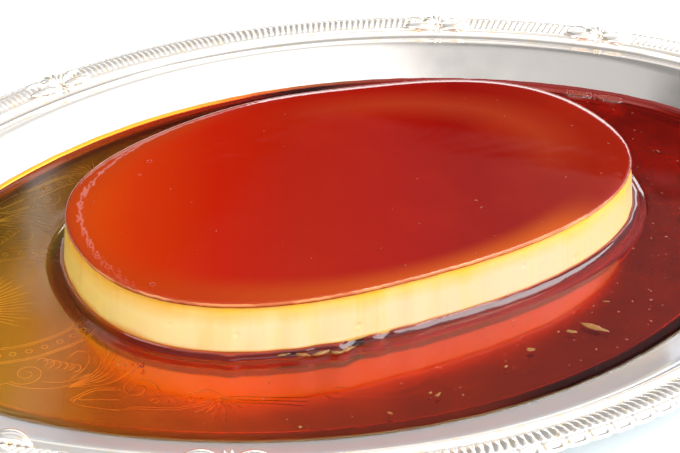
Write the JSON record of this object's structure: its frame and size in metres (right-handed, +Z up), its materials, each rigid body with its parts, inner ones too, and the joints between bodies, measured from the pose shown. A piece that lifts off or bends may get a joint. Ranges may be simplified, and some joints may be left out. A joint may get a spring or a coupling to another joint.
{
  "type": "creme caramel flan on an oval tray",
  "caption": "Oval baked custard flan with a glossy caramel top, standing in caramel syrup on an oval silver-plated tray with a gadroon border.",
  "frame": {"origin": "middle of the tray's flat underside, on the surface that the tray stands on", "axes": "+X along the tray's length, +Y towards the long side further from the viewer, +Z up"},
  "size_m": [0.3732, 0.2782, 0.0219],
  "materials": {
    "silver_plate": "polished silver plate, lightly worn",
    "syrup": "clear wet caramel syrup",
    "custard": "moist baked custard",
    "caramel": "glossy dark caramel"
  },
  "bodies": {
    "root": {"serving_tray": "silver_plate", "caramel_syrup": "syrup", "custard": "custard", "caramel_top": "caramel"}
  },
  "joints": []
}
